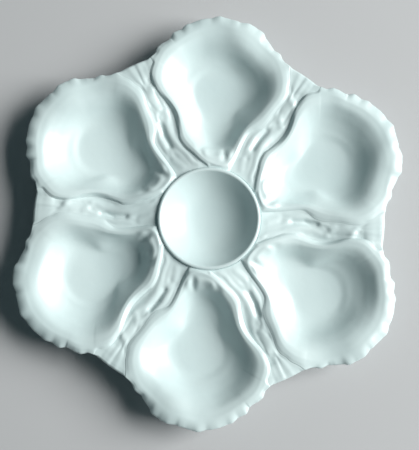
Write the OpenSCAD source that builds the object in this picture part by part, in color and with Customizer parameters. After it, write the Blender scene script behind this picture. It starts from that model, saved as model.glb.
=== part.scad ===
// Six-well oyster plate in white glazed porcelain, lying face up on its foot ring.
// Origin: centre of the foot ring's resting plane. +Z is up, millimetres throughout.
// One shell and one web are shaped once and repeated round the sauce well in the middle.

/* [Plate] */
// Diameter over the tips of opposite shells
plate_d = 230; // [200:1:260]
// Thickness of the porcelain wall
body_t = 4; // [3:0.1:5]
// Thickness of the shells' rounded outer edge
edge_t = 3.2; // [2.4:0.1:4]

/* [Oyster wells] */
// Depth of an oyster well, from the mean rim to its floor
well_depth = 11; // [8:0.5:14]
// How far the ruffled rim rises above and dips below its mean height
ruffle_h = 1.3; // [0.6:0.1:2]
// How far the rolled lip drops from its crest to the outer edge
lip_roll = 1.5; // [0.8:0.1:2.4]
// Distance from the crest of the lip to the outer edge
lip_w = 6.6; // [5:0.2:9]
// Distance from the crest to the crease along a shell's sides, where they are fullest
side_w = 3.6; // [2.6:0.1:4.2]
// Depth of that crease, below the crest
side_drop = 1.3; // [0.6:0.1:2]
// Distance from the crest to the sauce well at a shell's hinge end
hinge_w = 1.4; // [1:0.1:2]
// Depth of the groove between the hinge end and the sauce well
hinge_drop = 0.9; // [0.4:0.1:2]
// Height of the square hinge boss inside a shell's narrow end
hinge_h = 1.1; // [0.4:0.1:1.6]
// Height of the terrace step round the floor
terrace_h = 0.5; // [0.2:0.1:1]
// Depth of the flutes that run up the wall to the lip
flute_h = 0.3; // [0.1:0.1:0.6]
// How far the small scallops cut into the outer edge
scallop_d = 0.7; // [0.3:0.1:1]
// How far the small scallops dip the outer edge
scallop_h = 0.5; // [0.2:0.1:0.8]

/* [Seaweed webs] */
// Drop from the shells' mean rim to the webs' lowest ground, beside the sauce well
web_in_drop = 3.8; // [3:0.1:4.6]
// Drop from the shells' mean rim to the webs' lowest ground, at the plate's outer edge
web_out_drop = 0.8; // [0.4:0.1:2]
// Depth of a web's ground, between its strands
ground_d = 0.4; // [0.2:0.1:0.8]
// Height of the seaweed strands that run along a web
strand_h = 1.2; // [0.5:0.1:1.8]

/* [Sauce well] */
// Diameter of the sauce well at the crest of its rim
sauce_d = 54; // [48:0.5:60]
// Depth of the sauce well, from its rim to its floor
sauce_depth = 12.2; // [9:0.1:13]
// Height of the sauce well's rim above the shells' mean rim
sauce_rise = 1.6; // [0.6:0.1:2.4]
// Radius of the round bead on the sauce well's rim
bead_r = 1.2; // [0.9:0.1:1.6]

/* [Foot ring] */
// Diameter of the foot ring at the middle of its resting face
foot_d = 122; // [112:1:130]
// Width of the flat face that the plate rests on
foot_w = 3; // [2:0.1:4]
// Width of the foot ring where it joins the body
foot_root_w = 6; // [4.5:0.1:8]
// Clear height of the well floors' undersides above the table
foot_h = 4.6; // [3.5:0.1:7]

/* [Hidden] */
sectors = 6;
WELLS = [for (k = [1 : sectors]) str("oyster_well_", k)];
WEBS = [for (k = [1 : sectors]) str("seaweed_web_", k)];

PORCELAIN = [0.93, 0.95, 0.94];
pitch = 360 / sectors;
axis_turn = 27; // direction of the first shell's axis
seat_gap = 0.05; // clearance between the round sauce well and the forms about it
overrun = 1;

// Heights
floor_z = foot_h + body_t;
rim_z = floor_z + well_depth;
sauce_rim_z = rim_z + sauce_rise;
sauce_floor_z = sauce_rim_z - sauce_depth;
lid_z = sauce_rim_z + overrun;

// Radii
plate_r = plate_d / 2;
crest_r = sauce_d / 2;
sauce_r = crest_r + bead_r;
joint_r = sauce_r + seat_gap;
foot_r = foot_d / 2;
web_end_share = 0.77; // how far out the webs end, as a share of the way to the shell tips
web_r = mix(joint_r, plate_r, web_end_share);

// A shell's outline in its own sector: [degrees from the shell's axis, share of the way out from
// the sauce well to the shell tips]
right_side_shares = [
    [-20, 0], [-21, 0.06], [-21.2, 0.13], [-21.2, 0.21], [-21.8, 0.27], [-24, 0.305],
    [-26.8, 0.34], [-28.2, 0.39], [-28.5, 0.45], [-28.9, 0.51], [-29.6, 0.57],
    [-29.4, 0.62], [-28.2, 0.66], [-27.4, 0.7], [-25.8, 0.745], [-24.9, 0.787]
];
lip_shares = [
    [-24.9, 0.787], [-22.4, 0.811], [-20.3, 0.842], [-18.1, 0.861], [-16.6, 0.881],
    [-14.9, 0.914], [-13.2, 0.941], [-11.2, 0.96], [-8.8, 0.972], [-6.4, 0.975],
    [-4.6, 0.981], [-2.6, 0.995], [0, 1], [2.4, 0.993], [5, 0.981], [7.5, 0.97],
    [9.8, 0.95], [11.7, 0.93], [13.8, 0.914], [15, 0.888], [15.7, 0.868], [17.9, 0.859],
    [19.7, 0.84], [21.2, 0.807], [22.9, 0.781]
];
left_side_shares = [
    [22.9, 0.781], [22.7, 0.745], [24, 0.715], [25.2, 0.68], [25.6, 0.64], [25.4, 0.59],
    [24.7, 0.54], [23.2, 0.48], [21.9, 0.41], [21.8, 0.34], [22.6, 0.27], [23.6, 0.22],
    [21.8, 0.155], [17.9, 0.105], [12.5, 0.05], [4, 0]
];
well_centre_shares = [-1.4, 0.47];

// Height of the rim's crest round the shell, as shares of ruffle_h about the mean rim
right_crest_shares = [0.9, -0.9, -1.5, -1.5, -1.2, -0.8, 0, 0.5, 0.6, 0.6, 0];
lip_crest_shares = [
    0, -0.7, -1, -0.9, -0.2, 0.4, 0.7, 0.5, -0.1, -0.2, 0, 0.2, 0.4, 0.5, 0.9, 0.6, 0.7
];
left_crest_shares = [0.7, 0.9, 1.2, 0.8, 0.1, -0.9, -1.4, -1.1, -0.3, 0.7, 1];
end_crest_shares = [1, 1.1, 0.9];

// Distance from the crest to the crease along the two sides, as shares of side_w
right_inset_shares = [0.8, 0.8, 0.9, 1.1, 1.3, 1.1, 1.2, 1.15, 1.1, 0.8, 0.8];
left_inset_shares = [0.8, 0.6, 0.7, 0.85, 0.8, 0.9, 1.1, 0.8, 0.9, 0.9, 0.8];
lip_start_share = 0.8; // the same, where the lip grows out of the sides

// Depth of the crease along the two sides, as shares of side_drop
right_drop_shares = [1.2, 1.1, 0.9, 0.9, 1, 1, 1, 1, 0.9, 0.8, 0.6];
left_drop_shares = [0.6, 0.7, 0.7, 0.8, 0.9, 1.1, 1.2, 1.1, 1.2, 1.3, 1.2];

// Scallops of the outer edge, from the right end of the lip to the left: how far each point is cut
// in, as shares of scallop_d, and dips, as shares of scallop_h
scallop_shares = [
    0, 0.6, 0.1, 0.8, 0.3, 1, 0.2, 0.7, 0, 0.5, 0.2, 0.9, 0, 0.7, 0.1, 0.8, 0.2, 1, 0.4, 0.9,
    0.1, 0.7, 0.2, 0.5, 0
];

// Rise of the wall from the floor to the crest, at even steps from the middle of the floor
wall_shares = [0, 0, 0.01, 0.03, 0.09, 0.19, 0.35, 0.56, 0.78, 0.94, 1];

// The floor is an egg: its mean reach from the middle, the bulge of its outer end, and its
// lengthening along the shell, as shares of the way from the sauce well to the shell tips
egg_reach_share = 0.4;
egg_bulge_share = 0.047;
egg_length_share = 0.023;

// Flutes of the outer wall, from the right end of the lip to the left, as shares of flute_h
flute_shares = [0, 0.6, -0.5, 0.3, -0.6, 0.8, 0.5, -1, 0.1, 0.5, -0.5, 0.4, -0.5, 0.5, -0.4, 0.3, 0];

// Heights of a web's strands over its ground, crease to crease, at even steps out from the sauce
// well, as shares of strand_h: each row runs along the web, and the strands wander across the rows
strand_shares = [
    [0.5, 0.3, 0.2, 0, 0.1, 0.4, 0.6, 0.3, 0.2],
    [0.6, 0.9, 0.8, 0.3, 0.2, 0.3, 0.8, 0.9, 0.6],
    [0.5, 0.5, 0.9, 1, 0.8, 0.5, 0.8, 0.3, 0.1],
    [0.6, 0.3, 0.4, 0.7, 1, 1, 0.9, 0.7, 0.6],
    [0.6, 0.8, 0.5, 0.2, 0.4, 0.9, 1, 0.2, 0.1],
    [0.5, 0.7, 1, 0.9, 0.6, 0.5, 0.9, 0.8, 0.6],
    [0.5, 0.4, 0.5, 0.6, 0.9, 0.7, 0.6, 0.4, 0.2]
];

// How many straight steps each stretch is drawn with
side_n = len(right_side_shares) - 1;
lip_n = 2 * (len(lip_shares) - 1);
end_n = 4;
web_n = len(strand_shares) + 1;

// Rings of a shell, as shares of the way from the middle of the floor to the crest
floor_ring_shares = [0.28, 0.46, 0.64];
wall_ring_shares = [0.8, 0.9, 1];
bottom_ring_shares = [0.75, 0.4];
egg_to_share = 0.3; // the rings are eggs up to here, and follow the crest more and more from here
egg_fade_share = 0.6;
terrace_from_shares = [0.4, 0.12]; // where the step rises out of the floor, and how wide it is
terrace_to_shares = [0.6, 0.26]; // the same, where it runs into the wall
terrace_least_share = 0.25; // height of the step where it is plainest
flute_at_share = 0.8;
flute_width_share = 0.32;
hinge_at_shares = [0, 0.085];
hinge_half_angle = 9;
hinge_half_share = 0.05;
hinge_fade_share = 0.08;
terrace_turns = [-30, 115]; // the step is full between these directions from the floor's middle
terrace_fade = 35;
lip_grow_share = 0.2; // share of the lip over which it grows out of the shell's sides
round_grow_share = 0.06; // share of the lip over which its edge's round grows
round_share = 0.35; // how far the outer edge's round reaches in, of its thickness
roll_at_share = 0.55; // a ring on the way from the crest to the edge, and its share of the fall
roll_fall_share = 0.33;

// What the rim does at a point of the outline, by place in its list
CREST = 0; // height of the crest
INSET = 1; // distance from the crest to the outline
TOP = 2; // top of the edge
UNDER = 3; // underside of the edge
ROUND = 4; // how far the edge is rounded
FLUTE = 5; // depth of the flute

function smooth(t) = let (c = min(max(t, 0), 1)) c * c * (3 - 2 * c);
function bump(t) = smooth(1 - abs(t));
function mix(a, b, t) = a + (b - a) * t;

// A value read from an evenly spaced list, with straight steps between its entries
function along(list, t) =
    let (p = t * (len(list) - 1), i = min(floor(p), len(list) - 2))
    mix(list[i], list[i + 1], p - i);

// A smooth curve through an evenly spaced list
function curve(list, t) =
    let (
        n = len(list) - 1, p = t * n, i = min(floor(p), n - 1), f = p - i,
        b = list[i], c = list[i + 1],
        a = i > 0 ? list[i - 1] : 2 * b - c,
        d = i < n - 1 ? list[i + 2] : 2 * c - b
    )
    b + ((c - a) * f + (2 * a - 5 * b + 4 * c - d) * f * f + (3 * b - a - 3 * c + d) * f * f * f) / 2;

// Place of a point given by its angle and its share of the way out to the shell tips
function place(p) = mix(joint_r, plate_r, p[1]) * [cos(p[0]), sin(p[0])];
function share_out(xy) = (norm(xy) - joint_r) / (plate_r - joint_r);
function turned(p, a) = [p[0] * cos(a) - p[1] * sin(a), p[0] * sin(a) + p[1] * cos(a)];
function with_z(xy, z) = [xy[0], xy[1], z];

// The closed outline of a shell, counter-clockwise from the sauce well's edge on the right
right_side = [for (p = right_side_shares) place(p)];
lip = [
    for (i = [1 : lip_n - 1])
        let (xy = place(curve(lip_shares, i / lip_n)))
        xy * (1 - scallop_d * curve(scallop_shares, i / lip_n) / norm(xy))
];
left_side = [for (p = left_side_shares) place(p)];
end_arc = [for (i = [1 : end_n - 1]) place(mix(left_side_shares[side_n], right_side_shares[0], i / end_n))];
outline = concat(right_side, lip, left_side, end_arc);
outline_n = len(outline);
well_centre = place(well_centre_shares);

// The webs' undersides lie on planes that rise outward, one wall below the webs' lowest ground;
// side is 1 on a shell's left and -1 on its right
function under_z(xy, side) =
    let (out = xy * [cos(pitch / 2), side * sin(pitch / 2)])
    rim_z - mix(web_in_drop, web_out_drop, (out - joint_r) / (web_r - joint_r)) - body_t;
function web_under_z(xy) = under_z(xy, 1);

// The rim along a side, from its tables of crest heights, insets and crease depths
function side_rim(xy, side, t, crests, insets, drops) =
    let (crest = rim_z + ruffle_h * along(crests, t))
    [crest, side_w * along(insets, t), crest - side_drop * along(drops, t), under_z(xy, side), 0, 0];
function lip_rim(xy, t) =
    let (
        side = t < 0.5 ? -1 : 1,
        crest = rim_z + ruffle_h * along(lip_crest_shares, t),
        grown = smooth(min(t, 1 - t) / lip_grow_share),
        side_top = crest - side_drop * (side < 0 ? along(right_drop_shares, 1) : left_drop_shares[0]),
        lip_top = crest - lip_roll - scallop_h * curve(scallop_shares, t)
    )
    [
        crest, mix(side_w * lip_start_share, lip_w, grown), mix(side_top, lip_top, grown),
        mix(under_z(xy, side), lip_top - edge_t, grown),
        round_share * smooth(min(t, 1 - t) / round_grow_share), flute_h * along(flute_shares, t)
    ];
function end_rim(xy, t) =
    let (crest = rim_z + ruffle_h * along(end_crest_shares, t))
    [crest, hinge_w, crest - hinge_drop, web_under_z(xy), 0, 0];
rims = concat(
    [for (i = [0 : side_n])
        side_rim(
            right_side[i], -1, i / side_n, right_crest_shares, right_inset_shares, right_drop_shares
        )],
    [for (i = [1 : lip_n - 1]) lip_rim(lip[i - 1], i / lip_n)],
    [for (i = [0 : side_n])
        side_rim(left_side[i], 1, i / side_n, left_crest_shares, left_inset_shares, left_drop_shares)],
    [for (i = [1 : end_n - 1]) end_rim(end_arc[i - 1], i / end_n)]
);

// Plan position on the ray from the middle of the floor to point i of the outline
function inset_xy(i, inset) =
    let (arm = outline[i] - well_centre)
    well_centre + arm * (1 - inset / norm(arm));
function ring_xy(i, share) =
    let (
        arm = outline[i] - well_centre, a = atan2(arm[1], arm[0]),
        egg = egg_reach_share + egg_bulge_share * cos(a) + egg_length_share * cos(2 * a),
        reach = mix(
            egg * (plate_r - joint_r), norm(arm) - rims[i][INSET],
            smooth((share - egg_to_share) / egg_fade_share)
        )
    )
    well_centre + arm * share * reach / norm(arm);

// Height of the upper face: floor, wall, terrace, flutes and hinge boss
function hinge(xy) =
    hinge_h
    * bump((atan2(xy[1], xy[0]) - hinge_at_shares[0]) / hinge_half_angle)
    * bump((share_out(xy) - hinge_at_shares[1]) / hinge_half_share);
function terrace(i, share) =
    let (arm = outline[i] - well_centre, a = atan2(arm[1], arm[0]))
    terrace_h
    * mix(terrace_least_share, 1, smooth((a - terrace_turns[0]) / terrace_fade)
        * smooth((terrace_turns[1] - a) / terrace_fade))
    * (smooth((share - terrace_from_shares[0]) / terrace_from_shares[1])
        - smooth((share - terrace_to_shares[0]) / terrace_to_shares[1]));
function ring_z(i, share) =
    mix(floor_z, rims[i][CREST], along(wall_shares, share))
    + terrace(i, share)
    + rims[i][FLUTE] * bump((share - flute_at_share) / flute_width_share)
    + hinge(ring_xy(i, share)) * smooth((1 - share) / hinge_fade_share);
function under_ring_z(i, share) =
    mix(floor_z, rims[i][UNDER] + body_t, along(wall_shares, share)) - body_t;

all_points = [0 : outline_n - 1];
half_points = [0 : 2 : outline_n - 1]; // the floor and the underside use every other point
function edge_xy(i) = inset_xy(i, rims[i][ROUND] * edge_t);
top_rings = concat(
    [for (s = floor_ring_shares) [for (i = half_points) with_z(ring_xy(i, s), ring_z(i, s))]],
    [for (s = wall_ring_shares) [for (i = all_points) with_z(ring_xy(i, s), ring_z(i, s))]],
    [
        [for (i = all_points)
            with_z(
                mix(ring_xy(i, 1), edge_xy(i), roll_at_share),
                mix(rims[i][CREST], rims[i][TOP], roll_fall_share)
            )],
        [for (i = all_points) with_z(edge_xy(i), rims[i][TOP])],
        [for (i = all_points) with_z(outline[i], mix(rims[i][TOP], rims[i][UNDER], 0.5))]
    ]
);
edge_ring = [for (i = all_points) with_z(edge_xy(i), rims[i][UNDER])];
under_rings = [
    for (s = bottom_ring_shares)
        [for (i = half_points) with_z(ring_xy(i, s), under_ring_z(i, s))]
];

// Triangles of a fan about a centre, of a band between two rings of n points, and of a band from
// a ring of n points to one of half as many; each winds clockwise seen from outside
function fan(centre, from, n) = [for (i = [0 : n - 1]) [centre, from + (i + 1) % n, from + i]];
function band(from, to, n) = [
    for (i = [0 : n - 1], half = [0, 1])
        let (j = (i + 1) % n)
        half == 0 ? [from + i, to + j, to + i] : [from + i, from + j, to + j]
];
function halving_band(from, to, n) = [
    for (i = [0 : n / 2 - 1])
        let (a = from + 2 * i, b = a + 1, c = from + (2 * i + 2) % n, d = to + i, e = to + (i + 1) % (n / 2))
        each [[a, b, d], [b, e, d], [b, c, e]]
];
function flipped(faces) = [for (f = faces) [for (i = [len(f) - 1 : -1 : 0]) f[i]]];
function between(from, n, to, m) =
    n == m ? band(from, to, n) : n > m ? halving_band(from, to, n) : flipped(halving_band(to, from, m));

// A closed solid from rings that run out from the middle of the top and in again underneath; a
// ring may have twice or half as many points as the one before it
module ringed_solid(rings, top_centre) {
    function start(k) = k == 0 ? 0 : start(k - 1) + len(rings[k - 1]);
    last = len(rings) - 1;
    stop = start(last + 1);
    points = concat([for (r = rings) each r], [with_z(well_centre, floor_z - body_t), top_centre]);
    faces = concat(
        fan(stop + 1, 0, len(rings[0])),
        [for (k = [0 : last - 1]) each between(start(k), len(rings[k]), start(k + 1), len(rings[k + 1]))],
        flipped(fan(stop, start(last), len(rings[last])))
    );
    polyhedron(points, faces, convexity = 6);
}

module shell() ringed_solid(concat(top_rings, [edge_ring], under_rings), with_z(well_centre, floor_z));

// Everything above a shell's underside
module above_shell() {
    lid = [for (i = all_points) with_z(outline[i], lid_z)];
    ringed_solid(concat([lid, edge_ring], under_rings), with_z(well_centre, lid_z));
}

// The web between a shell's left side and the next shell's right side: rung j counts outward
// from the sauce well, and t runs across from shell to shell
function web_xy(j, t) =
    let (
        a = left_side[side_n - j], b = turned(right_side[j], pitch),
        r = mix(norm(a), norm(b), t), q = mix(atan2(a[1], a[0]), atan2(b[1], b[0]), t)
    )
    t == 0 ? a : t == 1 ? b : r * [cos(q), sin(q)];

// A rung runs evenly from crease to crease, with its ground and strands between them
function web_z(j, i) =
    mix(rims[2 * side_n + lip_n - j][TOP], rims[j][TOP], i / web_n)
    + (i == 0 || i == web_n ? 0 : strand_h * along(strand_shares[i - 1], j / side_n) - ground_d);
function end_pull(j, i) = j == side_n && i > 0 && i < web_n ? round_share * edge_t : 0;
web_grid = [
    for (j = [0 : side_n]) [
        for (i = [0 : web_n])
            let (xy = web_xy(j, i / web_n))
            xy * (1 - end_pull(j, i) / norm(xy))
    ]
];
web_round = concat(
    [for (j = [0 : side_n - 1]) [j, 0]],
    [for (i = [0 : web_n - 1]) [side_n, i]],
    [for (j = [side_n : -1 : 1]) [j, web_n]],
    [for (i = [web_n : -1 : 1]) [0, i]]
);
web_under = [for (c = web_round) let (xy = web_grid[c[0]][c[1]]) with_z(xy, web_under_z(xy))];

module web() {
    m = len(web_round);
    cols = web_n + 1;
    half_n = floor(web_n / 2);
    // Points of the underside: up the left side, across the outer end, down the right side, back
    function left(j) = j;
    function outer(i) = side_n + i;
    function right(j) = 2 * side_n + web_n - j;
    function inner(i) = (2 * side_n + 2 * web_n - i) % m;
    under = concat(
        [for (i = [0 : web_n - 1]) [inner(i), i < half_n ? left(1) : right(1), inner(i + 1)]],
        [[inner(half_n), left(1), right(1)]],
        [for (j = [1 : side_n - 2], half = [0, 1])
            half == 0 ? [left(j), left(j + 1), right(j + 1)] : [left(j), right(j + 1), right(j)]],
        [[left(side_n - 1), outer(half_n), right(side_n - 1)]],
        [for (i = [0 : web_n - 1])
            [i < half_n ? left(side_n - 1) : right(side_n - 1), outer(i), outer(i + 1)]]
    );
    top = [
        for (j = [0 : side_n])
            [for (i = [0 : web_n]) with_z(web_grid[j][i], web_z(j, i))]
    ];
    // The outer end is rounded: its middle stands out over its top and its underside
    edge = [
        for (i = [0 : web_n])
            with_z(web_xy(side_n, i / web_n), mix(top[side_n][i][2], web_under[outer(i)][2], 0.5))
    ];
    points = concat(web_under, [for (row = top) each row], edge);
    function at(j, i) = m + j * cols + i;
    function end(i) = m + (side_n + 1) * cols + i;
    faces = concat(
        under,
        [for (j = [0 : side_n - 1], i = [0 : web_n - 1], half = [0, 1])
            half == 0
                ? [at(j, i), at(j + 1, i + 1), at(j + 1, i)]
                : [at(j, i), at(j, i + 1), at(j + 1, i + 1)]],
        [for (j = [0 : side_n - 2]) [left(j), at(j, 0), at(j + 1, 0), left(j + 1)]],
        [
            [end(0), left(side_n - 1), at(side_n - 1, 0)], [end(0), at(side_n - 1, 0), at(side_n, 0)],
            [end(0), left(side_n), left(side_n - 1)]
        ],
        [for (i = [0 : web_n - 1], half = [0, 1])
            half == 0 ? [at(side_n, i), at(side_n, i + 1), end(i + 1)] : [at(side_n, i), end(i + 1), end(i)]],
        [for (i = [0 : web_n - 1], half = [0, 1])
            half == 0 ? [end(i), end(i + 1), outer(i + 1)] : [end(i), outer(i + 1), outer(i)]],
        [
            [end(web_n), at(side_n, web_n), at(side_n - 1, web_n)],
            [end(web_n), at(side_n - 1, web_n), right(side_n - 1)],
            [end(web_n), right(side_n - 1), outer(web_n)]
        ],
        [for (j = [side_n - 1 : -1 : 1]) [right(j), at(j, web_n), at(j - 1, web_n), right(j - 1)]],
        [for (i = [web_n - 1 : -1 : 0]) [inner(i + 1), at(0, i + 1), at(0, i), inner(i)]]
    );
    polyhedron(points, faces, convexity = 6);
}

// Everything above the web's underside, from one shell's axis to the next
module above_web() {
    corners = [[0, 0], [plate_r, 0], turned([plate_r, 0], pitch)];
    points = concat(
        [for (c = corners) with_z(c, web_under_z(c))],
        [for (c = corners) with_z(c, lid_z)]
    );
    polyhedron(points, [[0, 1, 2], [5, 4, 3], [0, 3, 4, 1], [1, 4, 5, 2], [2, 5, 3, 0]]);
}

module sector(k) rotate(axis_turn + pitch * (k - 1)) children();

module oyster_well(k) color(PORCELAIN) sector(k) shell();

module seaweed_web(k) color(PORCELAIN) sector(k) web();

// The sauce well: a spherical bowl of even wall with a round bead for a rim
module sauce_well() {
    bead_z = sauce_rim_z - bead_r;
    mouth_angle = 2 * atan(sauce_depth / crest_r); // the bowl's arc runs into the bead's unbroken
    bowl_r = crest_r / sin(mouth_angle) - bead_r;
    bowl_z = sauce_floor_z + bowl_r;
    out_r = bowl_r + body_t;
    skirt_z = web_under_z(turned([joint_r, 0], pitch / 2));
    skirt_angle = acos(min(1, (bowl_z - skirt_z) / out_r));
    arc_n = 16;
    bead_n = 10;
    function on_arc(at, r, a) = [at[0] + r * cos(a), at[1] + r * sin(a)];
    inner = [for (i = [0 : arc_n]) on_arc([0, bowl_z], bowl_r, mouth_angle * i / arc_n - 90)];
    bead = [for (i = [1 : bead_n]) on_arc([crest_r, bead_z], bead_r, (90 + mouth_angle) * (1 - i / bead_n))];
    outer = [for (i = [arc_n : -1 : 0]) on_arc([0, bowl_z], out_r, skirt_angle * i / arc_n - 90)];
    color(PORCELAIN)
        rotate_extrude($fn = 96)
            polygon(concat(inner, bead, [[sauce_r, skirt_z]], outer));
}

// The foot ring: tapered, with its top cut to the undersides of the wells and webs
module foot_ring() {
    flare = (foot_root_w - foot_w) / 2;
    inner_r = foot_r - foot_w / 2;
    outer_r = foot_r + foot_w / 2;
    color(PORCELAIN)
        difference() {
            rotate_extrude($fn = 96)
                polygon([
                    [inner_r, 0],
                    [outer_r, 0],
                    [outer_r + flare, foot_h],
                    [outer_r + flare, rim_z],
                    [inner_r - flare, rim_z],
                    [inner_r - flare, foot_h]
                ]);
            for (k = [1 : sectors]) sector(k) above_web();
            for (k = [1 : sectors]) sector(k) above_shell();
        }
}

sauce_well();
foot_ring();
for (k = [1 : sectors]) {
    oyster_well(k);
    seaweed_web(k);
}
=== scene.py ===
# The oyster plate's visual model: the same shells, webs, sauce well and foot ring as the CAD
# solids, as smooth high-resolution surfaces with the fine relief of the moulded porcelain.
import math

import bpy
import numpy as np
from mathutils import Matrix, Vector


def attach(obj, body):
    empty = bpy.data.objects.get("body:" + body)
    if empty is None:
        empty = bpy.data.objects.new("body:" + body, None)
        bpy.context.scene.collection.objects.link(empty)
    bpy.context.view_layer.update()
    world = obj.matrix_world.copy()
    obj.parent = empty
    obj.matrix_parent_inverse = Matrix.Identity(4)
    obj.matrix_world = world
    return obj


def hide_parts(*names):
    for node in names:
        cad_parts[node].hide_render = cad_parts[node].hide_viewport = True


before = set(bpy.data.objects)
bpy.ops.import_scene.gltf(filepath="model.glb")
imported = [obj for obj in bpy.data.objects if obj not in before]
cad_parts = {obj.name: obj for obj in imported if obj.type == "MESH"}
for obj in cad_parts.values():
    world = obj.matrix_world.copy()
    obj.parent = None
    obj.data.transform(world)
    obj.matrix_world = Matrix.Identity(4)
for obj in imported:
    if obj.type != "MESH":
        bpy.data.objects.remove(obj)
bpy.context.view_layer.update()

MM = 0.001

# Sizes of the plate in millimetres, as in the CAD source
plate_r = 115.0
body_t = 4.0
edge_t = 3.2
well_depth = 11.0
ruffle_h = 1.3
lip_roll = 1.5
lip_w = 6.6
side_w = 3.6
side_drop = 1.3
hinge_w = 1.4
hinge_drop = 0.9
web_in_drop = 3.8
web_out_drop = 0.8
crest_r = 27.0
sauce_depth = 12.2
sauce_rise = 1.6
bead_r = 1.2
scallop_d = 0.7
scallop_h = 0.5
foot_r = 61.0
foot_w = 3.0
foot_root_w = 6.0
foot_h = 4.6
seat_gap = 0.05

SECTORS = 6
PITCH = 360 / SECTORS
AXIS_TURN = 27.0  # direction of the first shell's axis
WEB_END_SHARE = 0.77  # how far out the webs end, as a share of the way to the shell tips
floor_z = foot_h + body_t
rim_z = floor_z + well_depth
sauce_rim_z = rim_z + sauce_rise
sauce_floor_z = sauce_rim_z - sauce_depth
joint_r = crest_r + bead_r + seat_gap
web_r = joint_r + WEB_END_SHARE * (plate_r - joint_r)

# Sizes of the finer forms, in millimetres, which the scene shapes in its own way
ruffle_out = 0.25
terrace_h = 0.6
flute_h = 0.15
least_inset = 1.8  # from the crest to the shell's outline
bead_play = 0.01  # keeps the bead's top under the solid's

# A shell's outline in its own sector: degrees from the shell's axis, share of the way out
RIGHT_SIDE = [
    (-20, 0), (-21, 0.06), (-21.2, 0.13), (-21.2, 0.21), (-21.8, 0.27), (-24, 0.305),
    (-26.8, 0.34), (-28.2, 0.39), (-28.5, 0.45), (-28.9, 0.51), (-29.6, 0.57),
    (-29.4, 0.62), (-28.2, 0.66), (-27.4, 0.7), (-25.8, 0.745), (-24.9, 0.787),
]
LIP = [
    (-24.9, 0.787), (-22.4, 0.811), (-20.3, 0.842), (-18.1, 0.861), (-16.6, 0.881),
    (-14.9, 0.914), (-13.2, 0.941), (-11.2, 0.96), (-8.8, 0.972), (-6.4, 0.975),
    (-4.6, 0.981), (-2.6, 0.995), (0, 1), (2.4, 0.993), (5, 0.981), (7.5, 0.97),
    (9.8, 0.95), (11.7, 0.93), (13.8, 0.914), (15, 0.888), (15.7, 0.868), (17.9, 0.859),
    (19.7, 0.84), (21.2, 0.807), (22.9, 0.781),
]
LEFT_SIDE = [
    (22.9, 0.781), (22.7, 0.745), (24, 0.715), (25.2, 0.68), (25.6, 0.64), (25.4, 0.59),
    (24.7, 0.54), (23.2, 0.48), (21.9, 0.41), (21.8, 0.34), (22.6, 0.27), (23.6, 0.22),
    (21.8, 0.155), (17.9, 0.105), (12.5, 0.05), (4, 0),
]
WELL_CENTRE = (-1.4, 0.47)

# Height of the rim's crest, as shares of ruffle_h, its distance from the crease, as shares of
# side_w, and the crease's depth, as shares of side_drop, at even steps along each side
RIGHT_CREST = [0.9, -0.9, -1.5, -1.5, -1.2, -0.8, 0, 0.5, 0.6, 0.6, 0]
RIGHT_INSET = [0.8, 0.8, 0.9, 1.1, 1.3, 1.1, 1.2, 1.15, 1.1, 0.8, 0.8]
RIGHT_DROP = [1, 0.8, 0.6, 0.6, 0.6, 0.6, 0.6, 0.6, 0.5, 0.5, 0.4]
LIP_CREST = [0, -0.7, -1, -0.9, -0.2, 0.4, 0.7, 0.5, -0.1, -0.2, 0, 0.2, 0.4, 0.5, 0.9, 0.6, 0.7]
LEFT_CREST = [0.7, 0.9, 1.2, 0.8, 0.1, -0.9, -1.4, -1.1, -0.3, 0.7, 1]
LEFT_INSET = [0.8, 0.6, 0.7, 0.85, 0.8, 0.9, 1.1, 0.8, 0.9, 0.9, 0.8]
LEFT_DROP = [
    0.6, 0.6, 0.7, 0.7, 0.9, 1.4, 1.3, 0.6, 0.9, 1.4, 1.7,
    1.7, 1.5, 1.1, 0.8, 0.7, 0.8, 0.9, 0.9, 0.9, 0.8,
]
END_CREST = [1, 1.1, 0.9]
LIP_START_INSET = 0.8  # the crest's distance where the lip grows out of the sides, of side_w
# Along the lip, where the right side's depth goes over into the left's, and over what width
DROP_TURN = (0.3, 0.4)

# Flutes inside the lip, from its right end to its left, as shares of flute_h
FLUTES = [0, 0.6, -0.5, 0.3, -0.6, 0.8, 0.5, -1, 0.1, 0.5, -0.5, 0.4, -0.5, 0.5, -0.4, 0.3, 0]

# Scallops of the outer edge from the lip's right end to its left: how far it is cut in, as shares
# of scallop_d, and dips, as shares of scallop_h
SCALLOPS = [
    0, 0.6, 0.1, 0.8, 0.3, 1, 0.2, 0.7, 0, 0.5, 0.2, 0.9, 0,
    0.7, 0.1, 0.8, 0.2, 1, 0.4, 0.9, 0.1, 0.7, 0.2, 0.5, 0,
]
# The finest waves of the edge: share of the height, waves along the lip, and the first's start
RUFFLE_MEAN = 0.5
RUFFLE_WAVES = [(0.3, 19, 0.1), (0.2, 31, 0.4)]

# Shares of the lip over which things grow at its ends: the ruffles, the lip, the edge's round
RUFFLE_GROW = 0.08
LIP_GROW = 0.2
ROUND_GROW = 0.06
CORNER_SHARE = 0.3  # share of each side, next to the lip, over which the corner is softened
ROUND_SHARE = 0.45  # how far the outer edge's round reaches in, of its thickness
ROUND_START = 65  # direction in which the lip runs into that round, in degrees above the level
LIP_FALL = 0.75  # fall of the lip from crest to edge, as a share of lip_roll
# Powers of the way from crest to edge with which the lip falls and its scallops dip
LIP_POWER = 2.2
DIP_POWER = 1.3

# Millimetres of outline over which the crest's height, the flutes and the crest's line are eased
HEIGHT_EASE = 3.5
FLUTE_EASE = 3
SIDE_EASE = 5
LIP_EASE = 6
CORNER_EASE = 13
WALL_EASE = 11

# Share of a side's fall that is close to the seam. Halfway along the left side, where a leaf of
# the web lies over the seam, the fall is spread evenly
LEFT_SHARP = 0.7
RIGHT_SHARP = 0.45
LEAF_AT, LEAF_HALF = 0.52, 0.16

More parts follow.
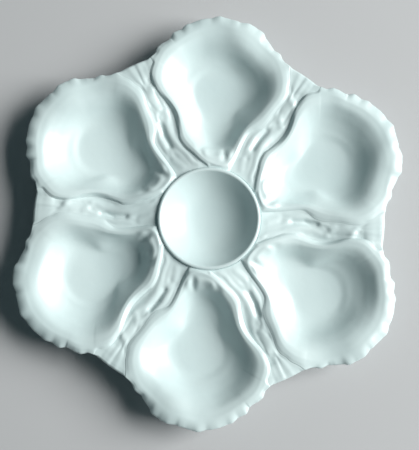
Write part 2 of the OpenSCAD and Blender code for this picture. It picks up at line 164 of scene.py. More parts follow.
# Rise of the well's wall from floor to crest, at even steps from the middle out: on the
# underside, where it starts early, and where the floor is wide and it starts late
UNDER_RISE = [0, 0, 0.005, 0.02, 0.06, 0.15, 0.33, 0.56, 0.79, 0.95, 1]
EARLY_RISE = [0, 0, 0.005, 0.015, 0.04, 0.12, 0.34, 0.66, 0.89, 0.98, 1]
LATE_RISE = [0, 0, 0.005, 0.015, 0.04, 0.085, 0.17, 0.33, 0.61, 0.89, 1]
# Where the wall rises late (1) or early (0), by the direction from the middle of the shell's floor
LATE_TURNS = [
    (-207, 1), (-147, 1), (-87, 0.4), (-27, 0), (33, 0.85), (93, 0.45), (153, 1), (213, 1),
]
FLOOR_TILT = 0.05  # slope of a well's floor towards the sauce well

# Changes on the way from a well's middle (0) to its crest (1): where each starts and how wide it
# is. The floor is an egg, the wall is wavier, and only the crest follows the whole outline
EGG_TO_WALL = (0.25, 0.4)
WALL_TO_CREST = (0.5, 0.5)
SOFT_TO_CREST = (0.75, 0.25)
LEVEL_TO_WAVES = (0.65, 0.35)
TERRACE_UP = (0.4, 0.12)
TERRACE_DOWN = (0.6, 0.26)
FLUTE_IN = (0.6, 0.25)
# The same, for what fades out: where each ends and how wide the fading is
FLUTE_OUT = (1.02, 0.1)
HINGE_OUT = (1, 0.08)
EGG_ORDER = 2  # waves round the shell that the egg keeps, and those that the wall keeps
WALL_ORDER = 5

# Changes on the way from the crest (0) to the shell's edge (1)
TOP_TO_EDGE = (0.3, 0.7)
SEAM_FALL = (0.55, 0.45)

# The terrace round the floor is full between these directions from its middle, and plainest
# outside them
TERRACE_TURNS = (-30, 115)
TERRACE_FADES = (40, 30)
TERRACE_LEAST = 0.25

# Fineness of the surfaces
CURVE_SUB = 24
SIDE_SUB = 6
LIP_SUB = 6
LINE_SUB = 5
END_STEPS = 16
WALL_RINGS = 46
LIP_RINGS = 10
ROUND_RINGS = 8
UNDER_RINGS = 24
WEB_STEPS = 28
WEB_ROUND_STEPS = 6
BOWL_STEPS = 44
BEAD_STEPS = 22
OUTSIDE_STEPS = 24
SAUCE_TURNS = 192
FOOT_TURNS = 360


def smooth(t):
    t = np.clip(t, 0, 1)
    return t * t * (3 - 2 * t)


def rise_from(t, start, width):
    """A smooth rise from 0 at the start to 1, over the given width."""
    return smooth((t - start) / width)


def fall_to(t, end, width):
    """A smooth fall from 1 to 0 at the end, over the given width."""
    return smooth((end - t) / width)


def bump(t):
    return smooth(1 - np.abs(t))


def mix(a, b, t):
    return a + (b - a) * t


def ruffle(t):
    """The finest waves along the lip, from 0 to 1."""
    return RUFFLE_MEAN + sum(part * np.sin(2 * math.pi * (waves * t + start))
                             for part, waves, start in RUFFLE_WAVES)


def grows(t, share):
    """Growth from 0 at both ends of the lip to 1, over the given share of the lip."""
    return smooth(np.minimum(t, 1 - t) / share)


def spline(points, sub):
    """A smooth curve through the points, with sub steps between each two."""
    p = np.asarray(points, float)
    p = p.reshape(len(p), -1)
    ends = np.vstack([2 * p[0] - p[1], p, 2 * p[-1] - p[-2]])
    out = []
    for i in range(len(p) - 1):
        a, b, c, d = ends[i:i + 4]
        for s in range(sub):
            f = s / sub
            out.append(
                (2 * b + (c - a) * f + (2 * a - 5 * b + 4 * c - d) * f**2
                 + (3 * b - a - 3 * c + d) * f**3) / 2
            )
    out.append(p[-1])
    return np.array(out)


def along(values, t):
    """A smooth curve through evenly spaced values, read at t from 0 to 1."""
    fine = spline(values, CURVE_SUB)[:, 0]
    return np.interp(t, np.linspace(0, 1, len(fine)), fine)


def place(p):
    """A point given by its angle and its share of the way out to the shell tips."""
    p = np.asarray(p, float)
    r = mix(joint_r, plate_r, p[..., 1])
    a = np.radians(p[..., 0])
    return np.stack([r * np.cos(a), r * np.sin(a)], -1)


def turned(xy, degrees):
    a = math.radians(degrees)
    x, y = xy[..., 0], xy[..., 1]
    return np.stack([x * math.cos(a) - y * math.sin(a), x * math.sin(a) + y * math.cos(a)], -1)


def web_under(xy, side):
    """Height of a web's underside, a plane that rises outward."""
    a = math.radians(PITCH / 2)
    out = xy[..., 0] * math.cos(a) + side * xy[..., 1] * math.sin(a)
    return rim_z - mix(web_in_drop, web_out_drop, (out - joint_r) / (web_r - joint_r)) - body_t


# The outline of the master shell, counter-clockwise from the sauce well's edge on the right
right_curve = place(spline(RIGHT_SIDE, SIDE_SUB))
lip_curve = place(spline(LIP, LIP_SUB))
left_curve = place(spline(LEFT_SIDE, SIDE_SUB))
end_t = np.linspace(0, 1, END_STEPS + 1)
end_curve = place([(mix(LEFT_SIDE[-1][0], RIGHT_SIDE[0][0], t), 0) for t in end_t])
outline = np.vstack([right_curve, lip_curve[1:-1], left_curve, end_curve[1:-1]])
n_out = len(outline)
n_side = len(right_curve)
n_lip = len(lip_curve)
centre = place(WELL_CENTRE)

# Ways from 0 to 1 along each side, along the inner points of the lip and along those of the end
t_side = np.linspace(0, 1, n_side)
t_lip = np.linspace(0, 1, n_lip)[1:-1]
t_end = end_t[1:-1]
steps_on = np.linalg.norm(np.roll(outline, -1, axis=0) - outline, axis=1)
run_on = np.cumsum(steps_on)


def joined(right, lip, left, end):
    """Values round the shell, from those of its right side, lip, left side and end."""
    return np.concatenate([np.broadcast_to(right, n_side), np.broadcast_to(lip, n_lip - 2),
                           np.broadcast_to(left, n_side), np.broadcast_to(end, END_STEPS - 1)])


def eased(values, spread):
    """The values round the shell, each averaged with those within some millimetres of outline."""
    apart = np.abs(run_on[:, None] - run_on[None, :])
    apart = np.minimum(apart, run_on[-1] - apart)
    weights = np.exp(-0.5 * (apart / spread) ** 2) * steps_on
    return weights @ values / weights.sum(axis=1)


# How far each part of the outline is lip, round edge, corner between side and lip, or end, and
# whether the web next to it is on the right (-1) or on the left (1)
grown = grows(t_lip, LIP_GROW)
lip_grown = joined(0, grown, 0, 0)
round_grown = joined(0, grows(t_lip, ROUND_GROW), 0, 0)
at_corner = joined(rise_from(t_side, 1 - CORNER_SHARE, CORNER_SHARE), 1 - grown,
                   fall_to(t_side, CORNER_SHARE, CORNER_SHARE), 0)
end_part = joined(0, 0, 0, 1)
side_of = joined(-1, np.where(t_lip < 0.5, -1, 1), 1, 1)

# Heights round the shell: its crest, then the top and the underside of its edge
crest_z = rim_z + ruffle_h * joined(
    along(RIGHT_CREST, t_side), along(LIP_CREST, t_lip), along(LEFT_CREST, t_side),
    along(END_CREST, t_end),
)
crest_z = eased(crest_z, HEIGHT_EASE)
flute = flute_h * eased(joined(0, along(FLUTES, t_lip), 0, 0), FLUTE_EASE)
scallops = along(SCALLOPS, t_lip)
edge_dip = joined(0, scallop_h * scallops, 0, 0)
lip_drop = mix(RIGHT_DROP[-1], LEFT_DROP[0], rise_from(t_lip, *DROP_TURN))
side_top = crest_z - side_drop * joined(
    along(RIGHT_DROP, t_side), lip_drop, along(LEFT_DROP, t_side), 0,
)
side_low = web_under(outline, side_of)
lip_top = crest_z - LIP_FALL * lip_roll - edge_dip
edge_top = np.where(end_part > 0, crest_z - hinge_drop, mix(side_top, lip_top, lip_grown))
edge_low = mix(side_low, lip_top - edge_t, lip_grown)
leaf = joined(0, 0, bump((t_side - LEAF_AT) / LEAF_HALF), 0)
sharp = np.where(side_of > 0, LEFT_SHARP * (1 - leaf), RIGHT_SHARP)

# Distances from the well's middle to the outline and to the crest
arm = outline - centre
angle = np.arctan2(arm[:, 1], arm[:, 0])
arm_len = np.linalg.norm(arm, axis=1)
arm_dir = arm / arm_len[:, None]
lip_inset = mix(side_w * LIP_START_INSET, lip_w, grown)
inset = joined(side_w * along(RIGHT_INSET, t_side), lip_inset,
               side_w * along(LEFT_INSET, t_side), hinge_w)
crest_len = arm_len - inset
eased_len = mix(eased(crest_len, SIDE_EASE), eased(crest_len, LIP_EASE), smooth(lip_grown))
crest_len = mix(eased_len, eased(crest_len, CORNER_EASE), at_corner)
crest_len = np.minimum(crest_len, arm_len - least_inset)
cut_in = scallop_d * scallops + ruffle_out * ruffle(t_lip) * grows(t_lip, RUFFLE_GROW)
arm_len = arm_len - joined(0, cut_in, 0, 0)
edge_round = round_grown * edge_t * ROUND_SHARE


def low_order(values, order):
    """The values round the shell, reduced to their slow changes with the angle."""
    waves = [np.ones_like(angle)]
    for k in range(1, order + 1):
        waves += [np.cos(k * angle), np.sin(k * angle)]
    waves = np.column_stack(waves)
    fit = np.linalg.lstsq(waves, values, rcond=None)[0]
    return waves @ fit


soft_len = eased(crest_len, WALL_EASE)
wall_len = low_order(crest_len, WALL_ORDER)
floor_len = low_order(crest_len, EGG_ORDER)
soft_z = low_order(crest_z, EGG_ORDER)

# How late the wall rises, and how full the terrace is, in each direction
turn_of = np.degrees(angle)
lateness = np.zeros_like(turn_of)
for (turn_a, late_a), (turn_b, late_b) in zip(LATE_TURNS, LATE_TURNS[1:]):
    step = mix(late_a, late_b, rise_from(turn_of, turn_a, turn_b - turn_a))
    lateness = np.where(turn_of >= turn_a, step, lateness)
terrace_part = mix(TERRACE_LEAST, 1, rise_from(turn_of, TERRACE_TURNS[0], TERRACE_FADES[0])
                   * fall_to(turn_of, TERRACE_TURNS[1], TERRACE_FADES[1]))

# Places of the relief are read in the photograph's pixels, from the plate's middle, in the sector
# of one shell: along its axis outward, and across it to the left
RELIEF_PX = 0.553  # millimetres in a pixel

# Strands and grooves of the web on the shell's left: places, width and height in millimetres
STRANDS = [
    ([(113, 52), (108, 48.5), (103, 47.5), (95, 47), (90, 45.5), (84, 43), (80, 41), (75, 37),
      (70, 33), (66, 28), (62, 24), (57, 20), (54, 14)], 1.3, 1.5),
    ([(150, 70), (140, 66), (133, 60), (125, 57), (118, 54), (113, 52)], 1.1, 0.7),
    ([(128, 66), (120, 64), (112, 58), (107, 55)], 1.7, 1.0),
    ([(107, 58), (100, 57), (93, 55), (88, 55), (80, 54), (75, 51), (70, 48), (62, 45)], 1.3, 1.1),
    ([(57, 38), (54, 34), (51, 29)], 1.5, 1.3),
    ([(74, 48), (67, 43), (63, 41)], 1.2, 0.8),
    ([(65, 36), (60, 30), (54, 24)], 1.2, 0.6),
    ([(156, 82), (143, 76), (134, 71)], 1.1, 1.0),
    ([(150, 90), (142, 84), (135, 78), (129, 72)], 1.1, 0.9),
]
GROOVES = [
    ([(131, 63), (120, 58), (113, 53.5), (110, 51)], 0.75, 0.9),
    ([(133, 88), (131, 77), (122, 72), (115, 68), (108, 60)], 0.9, 1.0),
    ([(110, 51), (101, 56), (95, 53), (90, 50), (81, 50)], 0.8, 1.0),
    ([(103, 62), (95, 59), (85, 58), (78, 57), (72, 55), (67, 51), (60, 44)], 0.8, 0.8),
    ([(108, 43), (100, 40), (92, 38), (88, 38)], 1.3, 1.0),
    ([(78, 34), (72, 28), (65, 22), (58, 16)], 0.8, 0.9),
    ([(152, 84), (142, 78), (132, 73)], 0.6, 0.7),
    ([(158, 74), (146, 68), (137, 64), (134, 63)], 0.9, 0.9),
    ([(62, 38), (61, 36)], 1.1, 0.8),
    ([(61, 44), (58, 43)], 1.1, 0.8),
]
BARS = [([(128, 63), (126, 73)], 1.8, 0.5), ([(107, 51), (109, 60)], 1.7, 0.45)]
FORK = [(92, 54), (86, 51), (79, 47.5), (71, 43)]  # the deep fork near the sauce well
fork_w = 1.5
fork_d = 1.2
web_sink = 0.1  # depth of the ground between the strands
seam_fade = 2.0  # from a web's edges, where it meets the shells, to its full relief
# The strands and grooves keep these shares of the heights above, and are so much wider
STRAND_SHARE, STRAND_SPREAD = 0.25, 1.3
GROOVE_SHARE, GROOVE_SPREAD = 0.24, 1.2
CROSS_SHARPNESS = 3.0  # how sharply one strand is set off where it runs over another

# The hinge end, in the same pixels: height in millimetres, then where a ridge starts along the
# axis, its rise, where it ends and its fall
BOSS = (0.8, 57, 5, 75, 6)
SLOT = (-0.7, 55, 5, 73, 6)
BOSS_END, BOSS_FADE = 12, 6
SLOT_AT, SLOT_HALF = -12.5, 4.5
# Its dish, lump and recess: height, then middle and half width along the axis and across it
HINGE_BUMPS = [(-0.35, 65.5, 6, 0, 8), (0.5, 65, 7, -18, 5.5), (-0.5, 69, 8, 13.5, 6)]


def near_line(xy, line):
    """Distance from each point to a line through the given points."""
    best = np.full(xy.shape[:-1], np.inf)
    for a, b in zip(line[:-1], line[1:]):
        ab = b - a
        t = np.clip(((xy - a) @ ab) / (ab @ ab), 0, 1)
        d = np.linalg.norm(xy - a - t[..., None] * ab, axis=-1)
        best = np.minimum(best, d)
    return best


def drawn(points):
    """A smooth curve through places given in the relief's pixels."""
    return spline(np.array(points) * RELIEF_PX, LINE_SUB)


def ridge_over(xy, line, width):
    """A rounded ridge over a line, 1 on it and falling off with the distance from it."""
    return np.exp(-(near_line(xy, line) / width) ** 2)


def strands(xy):
    """Relief of a web, at points given in the sector of the shell on its right."""
    raised = sum(
        np.exp(CROSS_SHARPNESS * height * ridge_over(xy, drawn(points), STRAND_SPREAD * width)) - 1
        for points, width, height in STRANDS
    )
    up = np.log(1 + raised) / CROSS_SHARPNESS
    sunk = np.zeros(xy.shape[:-1])
    for points, width, depth in GROOVES:
        sunk = np.maximum(sunk, depth * ridge_over(xy, drawn(points), GROOVE_SPREAD * width))
    fork = fork_d * ridge_over(xy, drawn(FORK), fork_w)
    bars = sum(height * ridge_over(xy, np.array(points) * RELIEF_PX, width)
               for points, width, height in BARS)
    return STRAND_SHARE * up - GROOVE_SHARE * sunk - fork + bars - web_sink


def hinge(xy):
    """The square boss at a shell's narrow end, dished on top, with a slot and a lump on its right
    and a recess on its left."""
    u, v = xy[..., 0] / RELIEF_PX, xy[..., 1] / RELIEF_PX

    def ridge(height, start, rise, end, fall):
        return height * rise_from(u, start, rise) * fall_to(u, end, fall)

    boss = ridge(*BOSS) * fall_to(np.abs(v), BOSS_END, BOSS_FADE)
    slot = ridge(*SLOT) * bump((v - SLOT_AT) / SLOT_HALF)
    return boss + slot + sum(height * bump((u - at_u) / half_u) * bump((v - at_v) / half_v)
                             for height, at_u, half_u, at_v, half_v in HINGE_BUMPS)


def steps_to_one(n):
    """The shares 1/n, 2/n and so on up to 1."""
    return np.linspace(0, 1, n + 1)[1:]


def well_ring(s):
    """The ring of the well's surface at the share s of the way from its middle to the crest."""
    inner_len = mix(floor_len, wall_len, rise_from(s, *EGG_TO_WALL))
    outer_len = mix(soft_len, crest_len, rise_from(s, *SOFT_TO_CREST))
    length = s * mix(inner_len, outer_len, rise_from(s, *WALL_TO_CREST))
    xy = centre + arm_dir * length[:, None]
    top = mix(soft_z, crest_z, rise_from(s, *LEVEL_TO_WAVES))
    rise = mix(along(EARLY_RISE, s), along(LATE_RISE, s), lateness)
    z = mix(floor_z + FLOOR_TILT * (xy[:, 0] - centre[0]), top, rise)
    z = z + terrace_h * (rise_from(s, *TERRACE_UP) - rise_from(s, *TERRACE_DOWN)) * terrace_part
    z = z + flute * rise_from(s, *FLUTE_IN) * fall_to(s, *FLUTE_OUT)
    return xy, z + hinge(xy) * fall_to(s, *HINGE_OUT)


def shell_rings():
    """Points of the master shell as rings, from the middle of the floor over the rim and round
    the edge to the middle of the underside."""
    rings = [well_ring(s) for s in steps_to_one(WALL_RINGS)]
    edge_len = arm_len - edge_round
    middle_z = (edge_top + edge_low) / 2
    half = (edge_top - edge_low) / 2
    start = math.radians(ROUND_START)
    # Over the rolled lip, or down to the seam with a web or the sauce well
    top_len = edge_len + edge_round * math.cos(start)
    top_z = middle_z + half * mix(1, math.sin(start), round_grown)
    top_soft = mix(top_len, eased(top_len, LIP_EASE), at_corner)
    for q in steps_to_one(LIP_RINGS):
        length = mix(crest_len, mix(top_soft, top_len, rise_from(q, *TOP_TO_EDGE)), q)
        side_z = mix(crest_z, edge_top, mix(smooth(q), rise_from(q, *SEAM_FALL), sharp))
        lip_z = mix(crest_z, top_z + edge_dip, q**LIP_POWER) - edge_dip * q**DIP_POWER
        end_z = mix(crest_z, edge_top, smooth(q))
        z = mix(np.where(end_part > 0, end_z, side_z), lip_z, lip_grown)
        rings.append((centre + arm_dir * length[:, None], z))
    # Round the outer edge, or straight down a seam
    for q in steps_to_one(ROUND_RINGS):
        a = mix(start, -math.pi / 2, q)
        length = edge_len + edge_round * math.cos(a)
        z_round = middle_z + half * math.sin(a)
        z_wall = mix(edge_top, edge_low, q)
        rings.append((centre + arm_dir * length[:, None], mix(z_wall, z_round, round_grown)))
    # Along the underside to its middle
    for q in steps_to_one(UNDER_RINGS)[:-1]:
        length = edge_len * (1 - q)
        share = np.clip(length / crest_len, 0, 1)
        z = mix(floor_z, edge_low + body_t, along(UNDER_RISE, share)) - body_t
        rings.append((centre + arm_dir * length[:, None], z))
    return rings


def add_mesh(name, points, faces):
    mesh = bpy.data.meshes.new(name)
    mesh.from_pydata((points * MM).tolist(), [], faces)
    mesh.validate()
    mesh.polygons.foreach_set("use_smooth", [True] * len(mesh.polygons))
    mesh.update()
    return mesh


def add_piece(name, mesh, turn, node, material):
    mesh = mesh.copy()
    mesh.transform(Matrix.Rotation(math.radians(turn), 4, "Z"))
    obj = bpy.data.objects.new(name, mesh)
    bpy.context.scene.collection.objects.link(obj)
    mesh.materials.clear()
    mesh.materials.append(material)
    bpy.context.view_layer.update()
    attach(obj, "root")
    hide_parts(node)
    return obj


def ring_faces(from_start, to_start, n):
    """Faces between two rings of n points that begin at the given points."""
    return [(from_start + i, to_start + i, to_start + (i + 1) % n, from_start + (i + 1) % n)
            for i in range(n)]


def shell_mesh():
    rings = shell_rings()
    points = [np.append(centre, floor_z)]
    for xy, z in rings:
        points.extend(np.column_stack([xy, z]))
    points.append(np.append(centre, floor_z - body_t))
    n = n_out
    faces = [(0, 1 + i, 1 + (i + 1) % n) for i in range(n)]
    for r in range(len(rings) - 1):
        faces += ring_faces(1 + r * n, 1 + (r + 1) * n, n)
    last = 1 + (len(rings) - 1) * n
    faces += [(last + n, last + (i + 1) % n, last + i) for i in range(n)]
    return add_mesh("oyster_shell", np.array(points), faces)


def polar(xy):
    """Distances from the plate's middle and directions of points, each as a column."""
    return np.linalg.norm(xy, axis=1)[:, None], np.arctan2(xy[:, 1], xy[:, 0])[:, None]


def web_points():
    """Grid of a web: rungs from the sauce well outward, each stepping from shell to shell."""
    seam = left_curve[::-1]
    next_seam = turned(right_curve, PITCH)
    seam_r, seam_a = polar(seam)
    next_r, next_a = polar(next_seam)
    t = np.linspace(0, 1, WEB_STEPS + 1)
    r = mix(seam_r, next_r, t)
    a = mix(seam_a, next_a, t)
    xy = np.stack([r * np.cos(a), r * np.sin(a)], -1)
    across = np.linalg.norm(next_seam - seam, axis=1)[:, None]
    to_edge = np.minimum(t, 1 - t) * across
    first_left = n_side + n_lip - 2
    left_top = edge_top[first_left:first_left + n_side][::-1, None]
    right_top = edge_top[:n_side, None]
    z = mix(left_top, right_top, t) + smooth(to_edge / seam_fade) * strands(xy)
    return xy, z


# The webs' outer ends: how far they are pulled in, and over what share of the width and how many
# rungs this grows
end_pull = 1.3
END_PULL_GROW = 0.12
END_PULL_RUNGS = 6


def web_mesh():
    xy, z = web_points()
    rows, cols = z.shape
    half_t = body_t / 2
    low_z = web_under(xy, 1)
    # The outer end is pulled in and rounded over half the thickness
    out = xy[-1] / np.linalg.norm(xy[-1], axis=1)[:, None]
    reach = end_pull * grows(np.linspace(0, 1, cols), END_PULL_GROW)[:, None]
    pull = rise_from(np.arange(rows), rows - 1 - END_PULL_RUNGS, END_PULL_RUNGS)
    pulled = xy - out * reach * pull[:, None, None]
    grid = [np.column_stack([pulled[j], z[j]]) for j in range(rows)]
    for k in range(1, WEB_ROUND_STEPS + 1):
        a = math.pi / 2 - math.pi * k / WEB_ROUND_STEPS
        row_xy = xy[-1] - out * reach * (1 - math.cos(a))
        mid = low_z[-1] + half_t
        top_half = z[-1] - mid
        row_z = mid + np.where(a > 0, top_half, half_t) * math.sin(a)
        grid.append(np.column_stack([row_xy, row_z]))
    grid += [np.column_stack([pulled[j], low_z[j]]) for j in range(rows - 2, -1, -1)]
    faces = []
    for j in range(len(grid) - 1):
        for i in range(cols - 1):
            a = j * cols + i
            faces.append((a, a + cols, a + cols + 1, a + 1))
    # The inner end, against the sauce well, closes the grid
    last = (len(grid) - 1) * cols
    for i in range(cols - 1):
        faces.append((last + i, i, i + 1, last + i + 1))
    return add_mesh("seaweed_web", np.vstack(grid), faces)


def on_arc(x, z, r, a):
    """A point of the circle round (x, z), at the angle a from its lowest point."""
    return x + r * math.sin(a), z - r * math.cos(a)


MOUTH_SLOPE = 55  # slope of the sauce bowl where it runs into its bead, in degrees


def sauce_profile():
    """Bowl, bead and outside of the sauce well; the bowl runs into the bead without a break."""
    mouth_a = math.radians(MOUTH_SLOPE)
    bead_z = sauce_rim_z - bead_r - bead_play
    mouth_r = crest_r - bead_r * math.sin(mouth_a)
    mouth_h = bead_z + bead_r * math.cos(mouth_a) - sauce_floor_z
    # The bowl is a parabola with so much of a fourth power in it that it has this slope there
    bend = (math.tan(mouth_a) * mouth_r / mouth_h - 2) / 2
    inner = [(mouth_r * x, sauce_floor_z + mouth_h * (bend * x**4 + (1 - bend) * x**2))
             for x in (i / BOWL_STEPS for i in range(BOWL_STEPS + 1))]
    turn = math.pi / 2 + mouth_a
    bead = [on_arc(crest_r, bead_z, bead_r, math.pi + mouth_a - turn * i / BEAD_STEPS)
            for i in range(1, BEAD_STEPS + 1)]
    # The outside is an arc a wall's thickness below the solid's bowl
    under_a = 2 * math.atan(sauce_depth / crest_r)
    out_r = (crest_r - bead_r * math.sin(under_a)) / math.sin(under_a) + body_t
    bowl_z = sauce_floor_z + out_r - body_t
    skirt_z = float(web_under(turned(np.array([joint_r, 0.0]), PITCH / 2), 1))
    skirt_a = math.acos(min(1, (bowl_z - skirt_z) / out_r))
    outer = [on_arc(0, bowl_z, out_r, skirt_a * i / OUTSIDE_STEPS) for i in range(OUTSIDE_STEPS, -1, -1)]
    return inner + bead + [(crest_r + bead_r, skirt_z)] + outer


def revolve(name, profile, steps):
    """A mesh turned about Z from (radius, height) points, whose first and last lie on the axis."""
    turns = 2 * math.pi * np.arange(steps) / steps
    points = [(0, 0, profile[0][1])]
    for r, z in profile[1:-1]:
        points.extend(np.column_stack([r * np.cos(turns), r * np.sin(turns), np.full(steps, z)]))
    points.append((0, 0, profile[-1][1]))
    pairs = [(i, (i + 1) % steps) for i in range(steps)]
    faces = [(0, 1 + j, 1 + i) for i, j in pairs]
    last = 1 + (len(profile) - 3) * steps
    for low in range(1, last, steps):
        high = low + steps
        faces += [(low + i, low + j, high + j, high + i) for i, j in pairs]
    faces += [(last + i, last + j, last + steps) for i, j in pairs]
    return add_mesh(name, np.array(points), faces)


# What the underside needs of the master shell, in the order of the direction from its middle
by_turn = np.argsort(angle)
under_turns = angle[by_turn]
under_reach = (arm_len - edge_round)[by_turn]
under_crest = crest_len[by_turn]
under_low = edge_low[by_turn]


def under_height(x, y):
    """Height of the plate's underside at a point, from the forms of its own sector."""
    direction = math.degrees(math.atan2(y, x)) - AXIS_TURN
    k = round(direction / PITCH)
    p = turned(np.array([x, y]), -(AXIS_TURN + PITCH * k))
    d = p - centre
    length = float(np.linalg.norm(d))
    turn = math.atan2(d[1], d[0])
    reach = np.interp(turn, under_turns, under_reach, period=2 * math.pi)
    if length >= reach:
        return float(web_under(p, 1 if p[1] > 0 else -1))
    crest = np.interp(turn, under_turns, under_crest, period=2 * math.pi)
    low = np.interp(turn, under_turns, under_low, period=2 * math.pi)
    return float(mix(floor_z, low + body_t, along(UNDER_RISE, min(length / crest, 1))) - body_t)


# The foot ring's eased edges, the slight flare above them, its waist, as shares of the flare and
# the height, and how far it runs up into the body
foot_ease = 0.5
foot_flare = 0.1
foot_corner_w, foot_corner_h = 0.15, 0.12
WAIST_OUT_SHARE, WAIST_UP_SHARE = 0.45, 0.55
foot_sink = 0.6


def foot_mesh():
    """The foot ring: a tapered ring with eased corners, whose top runs up into the body."""
    root_flare = (foot_root_w - foot_w) / 2
    inner_r, outer_r = foot_r - foot_w / 2, foot_r + foot_w / 2
    # One side of the section, from its root down: out from the foot's width, and height
    side = [(root_flare, foot_h), (root_flare * WAIST_OUT_SHARE, foot_h * WAIST_UP_SHARE),
            (foot_flare, foot_ease), (-foot_corner_w, foot_corner_h), (-foot_ease, 0)]
    section = [(inner_r - out, z) for out, z in side] + [(outer_r + out, z) for out, z in side[::-1]]
    points = []
    cols = len(section) + 2
    for i in range(FOOT_TURNS):
        a = 2 * math.pi * i / FOOT_TURNS
        c, s = math.cos(a), math.sin(a)
        roots = [(r * c, r * s) for r in (inner_r - root_flare, outer_r + root_flare)]
        seats = [(x, y, under_height(x, y) + foot_sink) for x, y in roots]
        points += [seats[0], *((r * c, r * s, z) for r, z in section), seats[1]]
    faces = []
    for i in range(FOOT_TURNS):
        j = (i + 1) % FOOT_TURNS
        for k in range(cols):
            m = (k + 1) % cols
            faces.append((i * cols + k, i * cols + m, j * cols + m, j * cols + k))
    return add_mesh("foot_ring_surface", np.array(points), faces)


def porcelain():
    """Cool white glaze under a clear coat: faintly cloudy, with a slightly uneven gloss and a
    little orange peel."""
    mat = bpy.data.materials.new("porcelain_glaze")
    mat.use_nodes = True
    nodes, links = mat.node_tree.nodes, mat.node_tree.links
    shader = nodes["Principled BSDF"]
    place_at = nodes.new("ShaderNodeTexCoord")

    def noise(scale, detail):
        texture = nodes.new("ShaderNodeTexNoise")
        texture.inputs["Scale"].default_value = scale
        texture.inputs["Detail"].default_value = detail
        links.new(place_at.outputs["Object"], texture.inputs["Vector"])
        return texture.outputs["Fac"]

    tint = nodes.new("ShaderNodeValToRGB")
    tint.color_ramp.elements[0].position = 0.3
    tint.color_ramp.elements[0].color = (0.65, 0.79, 0.795, 1)
    tint.color_ramp.elements[1].position = 0.75
    tint.color_ramp.elements[1].color = (0.71, 0.84, 0.84, 1)
    links.new(noise(28, 3), tint.inputs["Fac"])
    links.new(tint.outputs["Color"], shader.inputs["Base Color"])
    rough = nodes.new("ShaderNodeMapRange")
    rough.inputs["To Min"].default_value = 0.32
    rough.inputs["To Max"].default_value = 0.4
    links.new(noise(900, 2), rough.inputs["Value"])
    links.new(rough.outputs["Result"], shader.inputs["Roughness"])
    peel = nodes.new("ShaderNodeBump")
    peel.inputs["Strength"].default_value = 0.12
    peel.inputs["Distance"].default_value = 0.0006
    links.new(noise(160, 2), peel.inputs["Height"])
    links.new(peel.outputs["Normal"], shader.inputs["Normal"])
    shader.inputs["IOR"].default_value = 1.5
    shader.inputs["Coat Weight"].default_value = 0.25
    shader.inputs["Coat Roughness"].default_value = 0.18
    return mat


glaze = porcelain()
shell = shell_mesh()
web = web_mesh()
bowl = revolve("sauce_bowl", sauce_profile(), SAUCE_TURNS)
for k in range(1, SECTORS + 1):
    turn = AXIS_TURN + PITCH * (k - 1)
    add_piece(f"shell_glazed_{k}", shell, turn, f"oyster_well_{k}", glaze)
    add_piece(f"web_glazed_{k}", web, turn, f"seaweed_web_{k}", glaze)
add_piece("sauce_bowl_glazed", bowl, 0, "sauce_well", glaze)
add_piece("foot_ring_glazed", foot_mesh(), 0, "foot_ring", glaze)

# A plain pale table, in metres
TABLE_HALF = 3
table_corners = [(x * TABLE_HALF, y * TABLE_HALF, 0) for x, y in ((-1, -1), (1, -1), (1, 1), (-1, 1))]
floor_mesh = bpy.data.meshes.new("table")
floor_mesh.from_pydata(table_corners, [], [(0, 1, 2, 3)])
floor = bpy.data.objects.new("table", floor_mesh)
bpy.context.scene.collection.objects.link(floor)
table_mat = bpy.data.materials.new("table_paper")
table_mat.use_nodes = True
table_shader = table_mat.node_tree.nodes["Principled BSDF"]
table_shader.inputs["Base Color"].default_value = (0.55, 0.56, 0.57, 1)
table_shader.inputs["Roughness"].default_value = 0.8
floor_mesh.materials.append(table_mat)

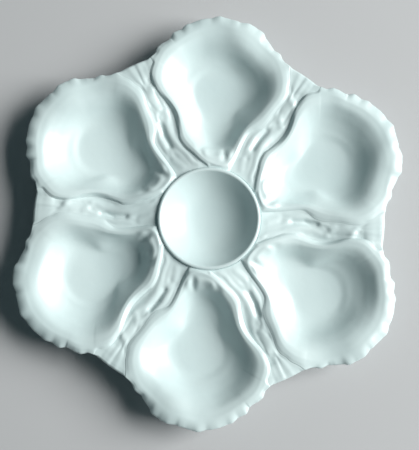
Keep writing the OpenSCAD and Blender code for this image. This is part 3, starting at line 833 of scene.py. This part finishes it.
# Light: a broad soft source on the right, as a window, with a weak even fill
world = bpy.data.worlds.new("studio")
world.use_nodes = True
fill = world.node_tree.nodes["Background"]
fill.inputs["Color"].default_value = (0.6, 0.92, 1.0, 1)
fill.inputs["Strength"].default_value = 0.07
bpy.context.scene.world = world


def area_light(name, direction, distance, size, power, color):
    """A rectangular lamp that shines at the origin. Direction is azimuth and elevation in degrees,
    and distance and size are in metres."""
    azimuth, elevation = (math.radians(a) for a in direction)
    data = bpy.data.lights.new(name, "AREA")
    data.shape = "RECTANGLE"
    data.size, data.size_y = size
    data.energy = power
    data.color = color
    lamp = bpy.data.objects.new(name, data)
    bpy.context.scene.collection.objects.link(lamp)
    away = Vector((math.cos(elevation) * math.cos(azimuth), math.cos(elevation) * math.sin(azimuth),
                   math.sin(elevation)))
    lamp.location = away * distance
    lamp.rotation_euler = away.to_track_quat("Z", "Y").to_euler()


area_light("window", (6, 35), 2.5, (1.6, 1.5), 102, (1.0, 0.995, 0.98))

# Camera: almost straight above, a little towards the photograph's lower edge, in metres
PHOTO_W, PHOTO_H = 419, 450
PLATE_PX = (209.0, 219.0)  # the plate's middle in the photograph
PHOTO_PX = 0.5485 * MM  # size of a pixel of the photograph at the aim's height
AIM_HEIGHT = 0.017
VIEW_DISTANCE = 0.46
TILT = math.radians(5.8)
aim = Vector(((PHOTO_W / 2 - PLATE_PX[0]) * PHOTO_PX, -(PHOTO_H / 2 - PLATE_PX[1]) * PHOTO_PX, AIM_HEIGHT))
camera_data = bpy.data.cameras.new("camera")
camera_data.sensor_fit = "VERTICAL"
camera_data.sensor_height = 24
camera_data.lens = camera_data.sensor_height * VIEW_DISTANCE / (PHOTO_H * PHOTO_PX)
camera_data.clip_start = 0.01
camera = bpy.data.objects.new("camera", camera_data)
bpy.context.scene.collection.objects.link(camera)
offset = Vector((0, -math.sin(TILT), math.cos(TILT))) * VIEW_DISTANCE
camera.location = aim + offset
camera.rotation_euler = offset.to_track_quat("Z", "Y").to_euler()
bpy.context.scene.camera = camera
bpy.context.scene.view_settings.view_transform = "Standard"
